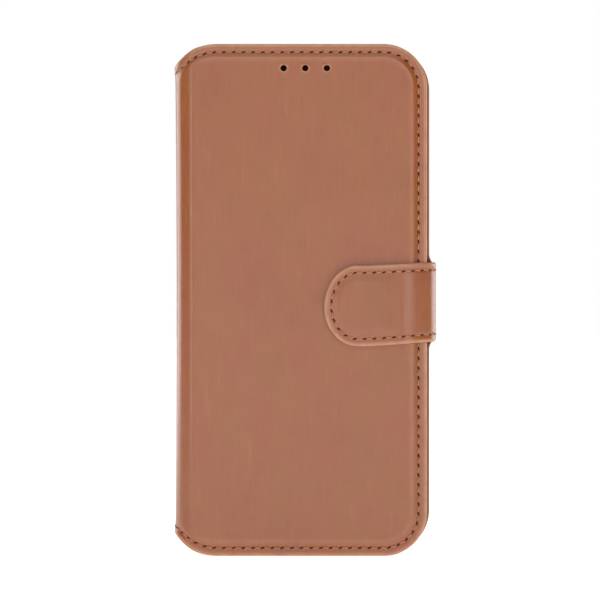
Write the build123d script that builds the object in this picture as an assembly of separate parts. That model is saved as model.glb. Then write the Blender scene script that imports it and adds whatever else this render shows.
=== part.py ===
from build123d import *
import math
import os

# Phone wallet case, closed, standing on its bottom edge.
# X runs across the covers (spine at -X, strap at +X), Y through the thickness
# (front cover towards -Y, back cover towards +Y), Z up. All sizes in millimetres.
# The origin is the middle of the bounding box at the bottom.

# ---- Whole case -----------------------------------------------------------
CASE_W = 85.0
CASE_H = 166.0
COVER_DEPTH = 17.2
STRAP_T = 2.0
STRAP_GAP = 0.1
CORNER_R = 14.0
FRONT_EDGE_X = 39.4
BACK_EDGE_X = 40.8

# ---- Layer thicknesses ----------------------------------------------------
LEATHER_T = 0.8
BOARD_T = 1.2
LINING_T = 0.6
POCKET_T = 0.4
PANEL_RISE = 0.8
ADHESIVE_T = 0.2

# ---- Spine and folds ------------------------------------------------------
SPINE_R = 6.4
SPLIT_GAP = 0.3
FOLD_LAP = 1.5
DIP_X = -28.5
DIP_A = 16.5
DIP_B = 14.5

# ---- Border ---------------------------------------------------------------
SLOPE_START = 3.0
SLOPE_END = 5.1
SLOPE_STEPS = 2
BOARD_INSET = 3.7
BOARD_LEFT_X = -33.0
EDGE_ROUND = 0.5

# ---- Speaker holes in the front cover -------------------------------------
SPEAKER_R = 1.0
SPEAKER_PITCH = 7.0
SPEAKER_Z = 158.1
SPEAKER_RELIEF = (20.0, 5.0)
SPEAKER_RELIEF_R = 2.4

# ---- Strap ----------------------------------------------------------------
STRAP_Z = 82.4
STRAP_W = 25.8
STRAP_ROOT_R = 4.0
STRAP_FOLD_R = 6.2
TONGUE_TIP_X = 5.9
TONGUE_TIP_Z = 81.1
TONGUE_END_A = 11.0
TONGUE_END_B = 13.2
TONGUE_RISE = 0.25
STIFFENER_INSET = 3.6
STIFFENER_COVER = 0.4
STIFFENER_FIT = 0.1
STIFFENER_SETBACK = 1.0
ROOT_LAP = 0.5
MAGNET_SIZE = (8.0, 14.0)
MAGNET_R = 1.5
MAGNET_FIT = 0.3
KEEPER_SIZE = (14.0, 20.0)
KEEPER_FIT = 0.1
MAGNET_X = 17.5

# ---- Stitches -------------------------------------------------------------
STITCH_PITCH = 3.15
STITCH_LENGTH = 2.3
STITCH_W = 0.6
STITCH_T = 0.25
STITCH_SINK = 0.36
SEAM_INSET = 2.6
STRAP_SEAM_INSET = 2.5
SPINE_STITCHES = 5
SPINE_STITCH_PITCH = 2.9
SEAM_START_GAP = 0.2

# ---- Phone tray -----------------------------------------------------------
PHONE_W = 73.5
PHONE_H = 159.0
PHONE_D = 8.0
PHONE_R = 9.0
TRAY_WALL = 1.3
TRAY_BACK = 1.2
TRAY_LIP = 0.8
LIP_T = 0.8
ADHESIVE_INSET = 4.0
CAMERA_SIZE = (24.0, 38.0)
CAMERA_R = 6.0
CAMERA_X = 20.5
CAMERA_Z = 136.5
CAMERA_TRAY_GAP = 1.0
CAMERA_BOARD_GAP = 0.8
CAMERA_ADHESIVE_GAP = 2.0
PORT_SIZE = (13.0, 6.0)
PORT_R = 2.5
SOUND_HOLE_R = 0.8
SOUND_HOLES = 5
SOUND_PITCH = 3.0
SOUND_X = 12.0
MIC_X = 8.0

# ---- Button covers --------------------------------------------------------
BUTTON_W = 3.2
BUTTON_PROUD = 0.8
BUTTON_FIT = 0.15
BUTTON_INSET = 0.5
BUTTON_CHAMFER = 0.3
VOLUME_Z = 129.0
VOLUME_LENGTH = 22.0
POWER_Z = 107.0
POWER_LENGTH = 11.0

# ---- Pockets --------------------------------------------------------------
NOTE_LEFT_X = -33.0
POCKET_LEFT_X = (-24.0, -15.0, -6.0)
POCKET_W = 46.0
POCKET_H = 92.0
POCKET_Z = 72.0
POCKET_RIM = 4.0
POCKET_INSET = 0.3
POCKET_TOP_Z = 152.1
POCKET_SEAM_Z = 1.5
POCKET_SEAM_X = 0.5
POCKET_SEAM_STITCHES = 2

# ---- Modelling ------------------------------------------------------------
CUT = 1.0
PICK = 0.1

# ---- Derived places -------------------------------------------------------
MID_Z = CASE_H / 2
SPINE_X = -CASE_W / 2
STRAP_X = CASE_W / 2
Y_BACK = (COVER_DEPTH + STRAP_GAP + STRAP_T) / 2
Y_FRONT = Y_BACK - COVER_DEPTH
COVER_T = LEATHER_T + BOARD_T + LINING_T
BACK_INNER_Y = Y_BACK - COVER_T
FRONT_INNER_Y = Y_FRONT + COVER_T
BACK_MARGIN_Y = Y_BACK - PANEL_RISE
FRONT_MARGIN_Y = Y_FRONT + PANEL_RISE
ARC_X = SPINE_X + SPINE_R
SEAM_LEFT_X = ARC_X + FOLD_LAP + SEAM_START_GAP
FRONT_ARC_Y = Y_FRONT + SPINE_R
BACK_ARC_Y = Y_BACK - SPINE_R
ROOT_X = STRAP_X - STRAP_ROOT_R
ROOT_Y = BACK_MARGIN_Y - STRAP_ROOT_R
TONGUE_OUTER_Y = -Y_BACK + TONGUE_RISE
TONGUE_INNER_Y = Y_FRONT - STRAP_GAP
FOLD_X = STRAP_X - STRAP_FOLD_R
FOLD_Y = TONGUE_OUTER_Y + STRAP_FOLD_R
TRAY_Y = BACK_INNER_Y - ADHESIVE_T
CAVITY_Y = TRAY_Y - TRAY_BACK
LIP_Y = CAVITY_Y - PHONE_D


# ---- Helpers --------------------------------------------------------------
def slab(sketch, y_low, y_high):
    """Extrude a front-view sketch (x, z about mid height) between two depths."""
    plane = Plane(origin=(0, y_high, MID_Z), x_dir=(1, 0, 0), z_dir=(0, -1, 0))
    return extrude(plane * sketch, amount=y_high - y_low)


def column(sketch, z_low, z_high):
    """Extrude a plan-view sketch (x, y) between two heights."""
    return extrude(Plane.XY.offset(z_low) * sketch, amount=z_high - z_low)


def span(x_low, x_high, z_low, z_high):
    """Rectangle in the front view, heights given from the case's bottom."""
    middle = Pos((x_low + x_high) / 2, (z_low + z_high) / 2 - MID_Z)
    return middle * Rectangle(x_high - x_low, z_high - z_low)


def plan(x_low, x_high, y_low, y_high):
    """Rectangle in the plan view."""
    middle = Pos((x_low + x_high) / 2, (y_low + y_high) / 2)
    return middle * Rectangle(x_high - x_low, y_high - y_low)


def cover_outline(edge_x, inset=0.0, left_x=SPINE_X):
    """Front-view outline: rounded right corners, ends that fall away to the spine."""
    right_x = edge_x - inset
    half = CASE_H / 2 - inset
    right = Pos((DIP_X + right_x) / 2, 0) * Rectangle(right_x - DIP_X, 2 * half)
    right = fillet(right.vertices().group_by(Axis.X)[-1], CORNER_R - inset)
    left = Pos((left_x + DIP_X) / 2, 0) * Rectangle(DIP_X - left_x, 2 * half)
    shoulder = half - DIP_B
    keep = Pos((left_x + DIP_X) / 2, 0) * Rectangle(DIP_X - left_x, 2 * shoulder)
    for side in (-1, 1):
        keep += Pos(DIP_X, side * shoulder) * Ellipse(DIP_A, DIP_B)
    return right + (left & keep)


def raised_panel(edge_x, y_base, y_top):
    """Rise over the board in small steps between SLOPE_START and SLOPE_END from the edge."""
    step = SLOPE_END - SLOPE_START
    rise = y_top - y_base
    solid = None
    for level in range(SLOPE_STEPS):
        inset = SLOPE_START + step * (level + 0.5) / SLOPE_STEPS
        y_from = y_base + rise * level / SLOPE_STEPS
        y_to = y_base + rise * (level + 1) / SLOPE_STEPS
        outline = cover_outline(edge_x, inset, ARC_X + FOLD_LAP / 2)
        layer = slab(outline, min(y_from, y_to), max(y_from, y_to))
        solid = layer if solid is None else solid + layer
    return solid


def quarter(x, y, r_out, r_in, start):
    """Plan-view quarter ring from the angle start."""
    ring = Circle(r_out) - Circle(r_in)
    square = Pos(r_out / 2, r_out / 2) * Rectangle(r_out, r_out)
    return Pos(x, y) * (Rot(0, 0, start) * (ring & square))


def half_plane(x, y, angle, gap):
    """Plan-view half plane left of a line through (x, y), set back by gap."""
    size = 200.0
    return Pos(x, y) * (Rot(0, 0, angle) * (Pos(0, size / 2 + gap) * Rectangle(size, size)))


def stitch(point, along, outward):
    """One short thread run lying on a surface."""
    place = Plane(origin=point + outward * (STITCH_T / 2), x_dir=along, z_dir=outward)
    return place * Box(STITCH_LENGTH, STITCH_W, STITCH_T)


def stitch_row(path, outward, count=None):
    """Evenly spaced thread runs along a path on a flat face."""
    number = count or round(path.length / STITCH_PITCH)
    row = []
    for index in range(number):
        where = (index + 0.5) / number
        row.append(stitch(path @ where, path % where, outward))
    return row


def seam_edges(outline, y, left_limit):
    """Edges of an outline placed at depth y, without the ones along the left."""
    plane = Plane(origin=(0, y, MID_Z), x_dir=(1, 0, 0), z_dir=(0, -1, 0))
    placed = plane * outline
    return [edge for edge in placed.edges() if edge.center().X > left_limit]


def camera_window(grow=0.0):
    """Front-view outline of the camera window."""
    width, height = CAMERA_SIZE
    sketch = RectangleRounded(width + 2 * grow, height + 2 * grow, CAMERA_R + grow)
    return Pos(CAMERA_X, CAMERA_Z - MID_Z) * sketch


def speaker_holes(radius=SPEAKER_R):
    """Front-view outlines of the three speaker holes."""
    holes = Sketch()
    for step in (-1, 0, 1):
        holes += Pos(step * SPEAKER_PITCH, SPEAKER_Z - MID_Z) * Circle(radius)
    return holes


def strap_zone():
    """Front-view area at the back cover's edge that is left free for the strap's root."""
    low = STRAP_Z - STRAP_W / 2 - SPLIT_GAP
    high = STRAP_Z + STRAP_W / 2 + SPLIT_GAP
    return span(ROOT_X, STRAP_X + CUT, low, high)


def spine_ring(r_out, r_in, back):
    """Plan-view quarter ring at the back or the front corner of the spine."""
    if back:
        return quarter(ARC_X, BACK_ARC_Y, r_out, r_in, 90)
    return quarter(ARC_X, FRONT_ARC_Y, r_out, r_in, 180)


def full_column(sketch):
    """Plan-view section over the whole height, ends trimmed to the spine's outline."""
    return column(sketch, 0, CASE_H) & slab(cover_outline(BACK_EDGE_X), -Y_BACK, Y_BACK)


# ---- Back cover -----------------------------------------------------------
def back_leather():
    margin_bottom = BACK_MARGIN_Y - BOARD_T
    shell = slab(cover_outline(BACK_EDGE_X, 0, ARC_X), margin_bottom, BACK_MARGIN_Y)
    shell -= slab(strap_zone(), margin_bottom - CUT, BACK_MARGIN_Y + CUT)
    shell -= slab(back_board_outline(), margin_bottom - CUT, BACK_MARGIN_Y)
    shell += raised_panel(BACK_EDGE_X, BACK_MARGIN_Y, Y_BACK)
    inner = SPINE_R - LEATHER_T
    fold = spine_ring(SPINE_R, inner, True) & half_plane(ARC_X, BACK_ARC_Y, -45, SPLIT_GAP / 2)
    fold += plan(ARC_X, ARC_X + FOLD_LAP, BACK_MARGIN_Y - LEATHER_T, Y_BACK)
    shell += full_column(fold)
    root = quarter(ROOT_X, ROOT_Y, STRAP_ROOT_R, STRAP_ROOT_R - LEATHER_T - LINING_T, 0)
    root += plan(ROOT_X - ROOT_LAP, ROOT_X, BACK_MARGIN_Y - LEATHER_T, BACK_MARGIN_Y)
    shell += column(root, STRAP_Z - STRAP_W / 2, STRAP_Z + STRAP_W / 2)
    return shell - slab(camera_window(), 0, Y_BACK + CUT)


def back_board_outline():
    return cover_outline(BACK_EDGE_X, BOARD_INSET, BOARD_LEFT_X)


def back_board():
    board = slab(back_board_outline(), BACK_INNER_Y + LINING_T, BACK_MARGIN_Y)
    return board - slab(camera_window(CAMERA_BOARD_GAP), 0, Y_BACK + CUT)


def back_lining():
    sheet = slab(cover_outline(BACK_EDGE_X, 0, ARC_X), BACK_INNER_Y, BACK_INNER_Y + LINING_T)
    sheet -= slab(strap_zone(), 0, Y_BACK)
    return sheet - slab(camera_window(), 0, Y_BACK + CUT)


def back_thread():
    outline = cover_outline(BACK_EDGE_X, SEAM_INSET, SEAM_LEFT_X)
    zone_low = STRAP_Z - STRAP_W / 2 - STITCH_LENGTH
    zone_high = STRAP_Z + STRAP_W / 2 + STITCH_LENGTH
    row = []
    for edge in seam_edges(outline, BACK_MARGIN_Y, SEAM_LEFT_X + PICK):
        row += stitch_row(edge, Vector(0, 1, 0))
    on_edge = BACK_EDGE_X - SEAM_INSET - STITCH_W
    kept = []
    for run in row:
        middle = run.center()
        if not (middle.X > on_edge and zone_low < middle.Z < zone_high):
            kept.append(run)
    return Compound(children=kept)


def tray_adhesive():
    sheet = tray_outline(-ADHESIVE_INSET)
    return slab(sheet, TRAY_Y, BACK_INNER_Y) - slab(camera_window(CAMERA_ADHESIVE_GAP), 0, Y_BACK)


# ---- Phone tray and its buttons -------------------------------------------
def tray_outline(grow):
    return RectangleRounded(PHONE_W + 2 * grow, PHONE_H + 2 * grow, PHONE_R + grow)


def button_slot(z, length, grow):
    """Opening in the tray's right wall, rounded at both ends."""
    x = PHONE_W / 2 + TRAY_WALL / 2
    y = (CAVITY_Y + LIP_Y) / 2
    plane = Plane(origin=(x - TRAY_WALL, y, z), x_dir=(0, 0, 1), z_dir=(1, 0, 0))
    sketch = SlotOverall(length + 2 * grow, BUTTON_W + 2 * grow)
    return extrude(plane * sketch, amount=2 * TRAY_WALL)


def end_hole(x, y, radius, z):
    """Round hole through the tray's top or bottom wall."""
    return Pos(x, y, z) * Cylinder(radius, 4 * TRAY_WALL)


def phone_tray():
    middle_y = (CAVITY_Y + LIP_Y) / 2
    tray = slab(tray_outline(TRAY_WALL), LIP_Y - LIP_T, TRAY_Y)
    tray -= slab(tray_outline(0), LIP_Y, CAVITY_Y)
    tray -= slab(tray_outline(-TRAY_LIP), LIP_Y - CUT, LIP_Y)
    tray -= slab(camera_window(CAMERA_TRAY_GAP), 0, Y_BACK)
    wall_z = MID_Z - PHONE_H / 2 - TRAY_WALL / 2
    width, depth = PORT_SIZE
    port = fillet(Box(width, depth, 4 * TRAY_WALL).edges().filter_by(Axis.Z), PORT_R)
    tray -= Pos(0, middle_y, wall_z) * port
    for side in (-1, 1):
        for index in range(SOUND_HOLES):
            x = side * (SOUND_X + index * SOUND_PITCH)
            tray -= end_hole(x, middle_y, SOUND_HOLE_R, wall_z)
    tray -= end_hole(MIC_X, middle_y, SOUND_HOLE_R, CASE_H - wall_z)
    tray -= button_slot(VOLUME_Z, VOLUME_LENGTH, BUTTON_FIT)
    tray -= button_slot(POWER_Z, POWER_LENGTH, BUTTON_FIT)
    return tray


def button_cover(z, length):
    """Cover plate that slides in its slot and stands proud of the tray's wall."""
    inner_x = PHONE_W / 2 + BUTTON_INSET
    y = (CAVITY_Y + LIP_Y) / 2
    plane = Plane(origin=(inner_x, y, z), x_dir=(0, 0, 1), z_dir=(1, 0, 0))
    depth = TRAY_WALL - BUTTON_INSET + BUTTON_PROUD
    plate = extrude(plane * SlotOverall(length, BUTTON_W), amount=depth)
    return chamfer(plate.faces().sort_by(Axis.X)[-1].edges(), BUTTON_CHAMFER)


def volume_button_cover():
    return button_cover(VOLUME_Z, VOLUME_LENGTH)


def power_button_cover():
    return button_cover(POWER_Z, POWER_LENGTH)


# ---- Spine ----------------------------------------------------------------
def spine_section(r_out, r_in):
    """Plan-view section: flat middle and the spine's half of each corner."""
    outer_x = ARC_X - r_out
    inner_x = ARC_X - r_in
    section = plan(outer_x, inner_x, FRONT_ARC_Y, BACK_ARC_Y)
    back_half = half_plane(ARC_X, BACK_ARC_Y, 135, SPLIT_GAP / 2)
    front_half = half_plane(ARC_X, FRONT_ARC_Y, 45, SPLIT_GAP / 2)
    section += spine_ring(r_out, r_in, True) & back_half
    section += spine_ring(r_out, r_in, False) & front_half
    return section


def spine_leather():
    skin = full_column(spine_section(SPINE_R, SPINE_R - LEATHER_T))
    return skin - spine_stitches()


def spine_lining():
    outer = SPINE_R - LEATHER_T
    return full_column(spine_section(outer, outer - LINING_T))


def spine_point(distance):
    """Point and outward direction on the spine's outer face, from its middle."""
    flat = (BACK_ARC_Y - FRONT_ARC_Y) / 2
    middle_y = (BACK_ARC_Y + FRONT_ARC_Y) / 2
    side = 1 if distance > 0 else -1
    over = abs(distance) - flat
    if over <= 0:
        return Vector(SPINE_X, middle_y + distance, 0), Vector(-1, 0, 0)
    angle = over / SPINE_R
    out = Vector(-math.cos(angle), side * math.sin(angle), 0)
    centre = Vector(ARC_X, middle_y + side * flat, 0)
    return centre + out * SPINE_R, out


def spine_end_z(x):
    """Height of the leather's top edge above mid height at a given x."""
    rise = math.sqrt(max(0.0, 1 - ((x - DIP_X) / DIP_A) ** 2))
    return CASE_H / 2 - DIP_B * (1 - rise)


def spine_stitches():
    """Thread runs let into the leather along both ends of the spine."""
    row = []
    for end in (-1, 1):
        for index in range(SPINE_STITCHES):
            distance = (index - (SPINE_STITCHES - 1) / 2) * SPINE_STITCH_PITCH
            place, out = spine_point(distance)
            height = spine_end_z(place.X) - SEAM_INSET
            point = Vector(place.X, place.Y, MID_Z + end * height) - out * STITCH_SINK
            along = out.cross(Vector(0, 0, 1))
            row.append(stitch(point, along, out))
    return row


def spine_thread():
    return Compound(children=spine_stitches())


# ---- Front cover ----------------------------------------------------------
def front_leather():
    margin_top = FRONT_MARGIN_Y + BOARD_T
    shell = slab(cover_outline(FRONT_EDGE_X, 0, ARC_X), FRONT_MARGIN_Y, margin_top)
    outer_face = shell.faces().sort_by(Axis.Y)[0]
    rim = [edge for edge in outer_face.edges() if edge.center().X > ARC_X + PICK]
    shell = chamfer(rim, EDGE_ROUND)
    shell -= slab(front_board_outline(), FRONT_MARGIN_Y, margin_top + CUT)
    shell += raised_panel(FRONT_EDGE_X, FRONT_MARGIN_Y, Y_FRONT)
    inner = SPINE_R - LEATHER_T
    fold = spine_ring(SPINE_R, inner, False) & half_plane(ARC_X, FRONT_ARC_Y, 225, SPLIT_GAP / 2)
    fold += plan(ARC_X, ARC_X + FOLD_LAP, Y_FRONT, FRONT_MARGIN_Y + LEATHER_T)
    shell += full_column(fold)
    return shell - slab(speaker_holes(), Y_FRONT - CUT, 0)


def front_board_outline():
    return cover_outline(FRONT_EDGE_X, BOARD_INSET, BOARD_LEFT_X)


def front_board():
    board = slab(front_board_outline(), FRONT_MARGIN_Y, FRONT_INNER_Y - LINING_T)
    width, height = SPEAKER_RELIEF
    relief = Pos(0, SPEAKER_Z - MID_Z) * RectangleRounded(width, height, SPEAKER_RELIEF_R)
    board -= slab(relief, Y_FRONT, 0)
    width, height = KEEPER_SIZE
    recess = Pos(MAGNET_X, TONGUE_TIP_Z - MID_Z) * Rectangle(width, height)
    return board - slab(recess, FRONT_MARGIN_Y, FRONT_MARGIN_Y + BOARD_T / 2)


def keeper_plate():
    width, height = KEEPER_SIZE
    sketch = Rectangle(width - 2 * KEEPER_FIT, height - 2 * KEEPER_FIT)
    plate = Pos(MAGNET_X, TONGUE_TIP_Z - MID_Z) * sketch
    return slab(plate, FRONT_MARGIN_Y, FRONT_MARGIN_Y + BOARD_T / 2 - KEEPER_FIT)


def front_lining():
    sheet = slab(cover_outline(FRONT_EDGE_X, 0, ARC_X), FRONT_INNER_Y - LINING_T, FRONT_INNER_Y)
    return sheet - slab(speaker_holes(), Y_FRONT, 0)


def front_thread():
    outline = cover_outline(FRONT_EDGE_X, SEAM_INSET, SEAM_LEFT_X)
    row = []
    for edge in seam_edges(outline, FRONT_MARGIN_Y, SEAM_LEFT_X + PICK):
        row += stitch_row(edge, Vector(0, -1, 0))
    return Compound(children=row)


def pocket_depth(layer):
    """Depth of a pocket layer's outer side; layer 0 is the note pocket."""
    return FRONT_INNER_Y + layer * POCKET_T


def note_pocket_panel():
    outline = cover_outline(FRONT_EDGE_X, POCKET_INSET, NOTE_LEFT_X)
    panel = slab(outline, pocket_depth(0), pocket_depth(1))
    return panel - slab(speaker_holes(), Y_FRONT, 0)


def card_pocket(layer):
    """Narrow pocket strip, stitched at its right end, top and bottom."""
    left = POCKET_LEFT_X[layer - 1]
    low = POCKET_Z - POCKET_H / 2
    strip = span(left, left + POCKET_W, low, low + POCKET_H)
    return slab(strip, pocket_depth(layer), pocket_depth(layer + 1))


def card_pocket_inner():
    return card_pocket(1)


def card_pocket_middle():
    return card_pocket(2)


def card_pocket_outer():
    left = POCKET_LEFT_X[2]
    keep = span(left, FRONT_EDGE_X, 0, POCKET_TOP_Z)
    outline = cover_outline(FRONT_EDGE_X, POCKET_INSET) & keep
    inside = span(left - CUT, FRONT_EDGE_X - POCKET_RIM, POCKET_RIM, POCKET_TOP_Z - POCKET_RIM)
    panel = slab(outline, pocket_depth(3), pocket_depth(4))
    rim = slab(outline, pocket_depth(1), pocket_depth(3))
    rim -= slab(inside, pocket_depth(0), pocket_depth(4))
    return panel + rim


def pocket_thread():
    """Short rows that close the two inner strips at the top and the bottom."""
    row = []
    for layer in (1, 2):
        left = POCKET_LEFT_X[layer - 1]
        right = min(left + POCKET_W, POCKET_LEFT_X[2] if layer == 2 else POCKET_LEFT_X[1])
        y = pocket_depth(layer + 1)
        low = POCKET_Z - POCKET_H / 2 + POCKET_SEAM_Z
        high = POCKET_Z + POCKET_H / 2 - POCKET_SEAM_Z
        for z in (low, high):
            path = Line((left + POCKET_SEAM_X, y, z), (right - POCKET_SEAM_X, y, z))
            row += stitch_row(path, Vector(0, 1, 0), POCKET_SEAM_STITCHES)
    return Compound(children=row)


# ---- Strap, side ----------------------------------------------------------
def strap_column(section):
    return column(section, STRAP_Z - STRAP_W / 2, STRAP_Z + STRAP_W / 2)


def strap_side_leather():
    section = plan(STRAP_X - LEATHER_T, STRAP_X, FOLD_Y, ROOT_Y - SPLIT_GAP)
    fold = quarter(FOLD_X, FOLD_Y, STRAP_FOLD_R, STRAP_FOLD_R - LEATHER_T, 270)
    section += fold & half_plane(FOLD_X, FOLD_Y, -45, SPLIT_GAP / 2)
    return strap_column(section) - strap_side_stitches()


def lining_fold():
    """Plan-view quarter ring of the lining inside the strap's front fold."""
    outer = STRAP_X - LEATHER_T
    outer_r = FOLD_Y - (TONGUE_INNER_Y - LINING_T)
    return quarter(outer - outer_r, FOLD_Y, outer_r, outer_r - LINING_T, 270)


def strap_side_lining():
    outer = STRAP_X - LEATHER_T
    section = plan(outer - LINING_T, outer, FOLD_Y, ROOT_Y - SPLIT_GAP)
    section += lining_fold() & half_plane(FOLD_X, FOLD_Y, -45, SPLIT_GAP / 2)
    return strap_column(section)


def strap_side_stitches():
    """Thread runs let into the leather along both edges of the strap's side."""
    row = []
    for side in (-1, 1):
        z = STRAP_Z + side * (STRAP_W / 2 - STRAP_SEAM_INSET)
        x = STRAP_X - STITCH_T
        path = Line((x, ROOT_Y - 2 * SPLIT_GAP, z), (x, FOLD_Y, z))
        row += stitch_row(path, Vector(1, 0, 0))
    return row


def strap_side_thread():
    return Compound(children=strap_side_stitches())


# ---- Strap, tongue --------------------------------------------------------
def tongue_outline(inset=0.0, right_x=FOLD_X):
    """Front-view outline: a round end on a strip that leans down a little to its tip."""
    end_x = TONGUE_TIP_X + TONGUE_END_A
    end_z = TONGUE_TIP_Z - MID_Z
    root_z = STRAP_Z - MID_Z
    tip_half = TONGUE_END_B - inset
    root_half = STRAP_W / 2 - inset
    corners = [(right_x, root_z + root_half), (end_x, end_z + tip_half),
               (end_x, end_z - tip_half), (right_x, root_z - root_half)]
    strip = Polygon(*corners, align=None)
    return strip + Pos(end_x, end_z) * Ellipse(TONGUE_END_A - inset, tip_half)


def strap_tongue_leather():
    floor = TONGUE_INNER_Y - LINING_T
    skin = slab(tongue_outline(), TONGUE_OUTER_Y, floor)
    end_x = FOLD_X - STIFFENER_SETBACK
    skin -= slab(tongue_outline(STIFFENER_INSET, end_x), floor - LINING_T, floor)
    raised = tongue_outline(STIFFENER_INSET - STIFFENER_COVER, end_x)
    skin += slab(raised, -Y_BACK, TONGUE_OUTER_Y)
    fold = quarter(FOLD_X, FOLD_Y, STRAP_FOLD_R, STRAP_FOLD_R - LEATHER_T, 270)
    fold &= half_plane(FOLD_X, FOLD_Y, 135, SPLIT_GAP / 2)
    return skin + strap_column(fold)


def strap_tongue_lining():
    fold = lining_fold() & half_plane(FOLD_X, FOLD_Y, 135, SPLIT_GAP / 2)
    flat = slab(tongue_outline(0, FOLD_X + ROOT_LAP), TONGUE_INNER_Y - LINING_T, TONGUE_INNER_Y)
    return flat + strap_column(fold)


def magnet_pocket(grow):
    width, height = MAGNET_SIZE
    sketch = RectangleRounded(width + grow, height + grow, MAGNET_R)
    return Pos(MAGNET_X, TONGUE_TIP_Z - MID_Z) * sketch


def strap_stiffener():
    floor = TONGUE_INNER_Y - LINING_T
    end_x = FOLD_X - STIFFENER_SETBACK - STIFFENER_FIT
    sheet = slab(tongue_outline(STIFFENER_INSET + STIFFENER_FIT, end_x), floor - LINING_T, floor)
    return sheet - slab(magnet_pocket(MAGNET_FIT), -Y_BACK, 0)


def strap_magnet():
    floor = TONGUE_INNER_Y - LINING_T
    return slab(magnet_pocket(0), floor - LINING_T, floor)


def strap_tongue_thread():
    outline = tongue_outline(STRAP_SEAM_INSET)
    row = []
    for edge in seam_edges(outline, TONGUE_OUTER_Y, SPINE_X):
        if edge.center().X < FOLD_X - PICK:
            row += stitch_row(edge, Vector(0, -1, 0))
    return Compound(children=row)


# ---- Files ----------------------------------------------------------------
NODES = [
    back_leather, back_board, back_lining, back_thread, tray_adhesive, phone_tray,
    volume_button_cover, power_button_cover,
    spine_leather, spine_lining, spine_thread,
    front_leather, front_board, keeper_plate, front_lining, front_thread,
    note_pocket_panel, card_pocket_inner, card_pocket_middle, card_pocket_outer, pocket_thread,
    strap_side_leather, strap_side_lining, strap_side_thread,
    strap_tongue_leather, strap_tongue_lining, strap_stiffener, strap_magnet,
    strap_tongue_thread,
]

os.makedirs("parts", exist_ok=True)
for make in NODES:
    export_step(make(), f"parts/{make.__name__}.step")
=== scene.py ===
import math

import bmesh
import bpy
import numpy as np
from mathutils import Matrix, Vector, noise
from mathutils.geometry import delaunay_2d_cdt


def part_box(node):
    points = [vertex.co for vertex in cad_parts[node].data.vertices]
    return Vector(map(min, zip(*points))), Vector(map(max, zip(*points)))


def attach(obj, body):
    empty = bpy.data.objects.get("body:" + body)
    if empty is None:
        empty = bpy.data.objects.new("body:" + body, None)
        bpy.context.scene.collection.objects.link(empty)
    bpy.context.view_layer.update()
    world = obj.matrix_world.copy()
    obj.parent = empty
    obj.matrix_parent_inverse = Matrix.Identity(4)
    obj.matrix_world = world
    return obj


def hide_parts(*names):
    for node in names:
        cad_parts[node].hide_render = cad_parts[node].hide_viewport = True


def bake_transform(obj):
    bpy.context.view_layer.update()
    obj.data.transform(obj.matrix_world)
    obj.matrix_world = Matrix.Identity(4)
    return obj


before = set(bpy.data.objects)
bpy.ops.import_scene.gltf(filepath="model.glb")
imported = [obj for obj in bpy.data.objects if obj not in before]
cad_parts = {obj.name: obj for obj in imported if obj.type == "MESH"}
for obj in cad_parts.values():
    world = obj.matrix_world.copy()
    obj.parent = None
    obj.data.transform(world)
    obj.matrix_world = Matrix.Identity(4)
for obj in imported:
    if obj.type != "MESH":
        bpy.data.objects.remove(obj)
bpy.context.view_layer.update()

# The skins are worked out in millimetres, in the CAD frame, and scaled to metres in make_object().
MM = 0.001


def mm_box(node):
    """Lowest and highest corner of a CAD node, in millimetres."""
    low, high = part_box(node)
    return [c / MM for c in low], [c / MM for c in high]


# ---- Places read from the frame
FRONT_LOW, FRONT_HIGH = mm_box("front_leather")
LINING_LOW, LINING_HIGH = mm_box("back_lining")
SIDE_LOW, SIDE_HIGH = mm_box("strap_side_leather")
TONGUE_TIP_X, TONGUE_CAD_Y, _ = mm_box("strap_tongue_leather")[0]
TONGUE_INNER_Y = mm_box("strap_tongue_lining")[1][1]
BOARD_X = mm_box("front_board")[0][0]
CASE_H = FRONT_HIGH[2]
MID_Z = CASE_H / 2
SPINE_X = mm_box("spine_leather")[0][0]
ARC_X = LINING_LOW[0]
SPINE_R = ARC_X - SPINE_X
Y_FRONT = FRONT_LOW[1]
Y_BACK = mm_box("back_leather")[1][1]
FRONT_EDGE_X = FRONT_HIGH[0]
BACK_EDGE_X = LINING_HIGH[0]
STRAP_X = SIDE_HIGH[0]
STRAP_Z = (SIDE_LOW[2] + SIDE_HIGH[2]) / 2
STRAP_HALF = (SIDE_HIGH[2] - SIDE_LOW[2]) / 2

# ---- Sizes of the layers, in millimetres
LEATHER_T = 0.8
BOARD_T = 1.2
LINING_T = 0.6
POCKET_T = 0.4
FACE_BACK = 0.02  # leather faces lie this far inside the CAD's
GLUE_GAP = 0.01
RISE = 0.8  # of each cover's middle over its margin
LINING_INSET = 0.4
CORNER_R = 14.0
DIP_X, DIP_A, DIP_B = -28.5, 16.5, 14.5  # the top edge's fall towards the spine
DIP_CLEAR = 0.3
SLOPE_START, SLOPE_END = 2.75, 4.65
SPINE_SLOPE = 4.0
SPINE_BOW, BOW_MARGIN = 0.45, 8.0
SPINE_DROP = 0.15
SPEAKER_R, SPEAKER_PITCH, SPEAKER_Z = 1.0, 7.0, 158.1
CAMERA_W, CAMERA_H, CAMERA_R = 24.0, 38.0, 6.0
CAMERA_X, CAMERA_Z = 20.5, 136.5
BACK_SPLIT_X = -6.0  # where the back cover's two skins meet
ROOT_R, ROOT_BEND = 4.0, 2.5
WEB_U, WEB_V = 3.0, 3.6  # rounded webs beside the strap's root
SIDE_MID_Y = 0.8
FOLD_ARCS = ((6.2, 56), (9.0, 14), (24.0, 20))  # radius and turn of the strap's fold
BLEND_END_X = 34.0  # the tongue's skin has turned fully here, just inside its stiffener's end
TONGUE_LIFT = 0.3
TONGUE_RISE = 0.25
TONGUE_END = (11.0, 13.2)
TONGUE_END_Z = 81.1
TONGUE_GROW = 6.0  # over this length the tongue gets its relief

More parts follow.
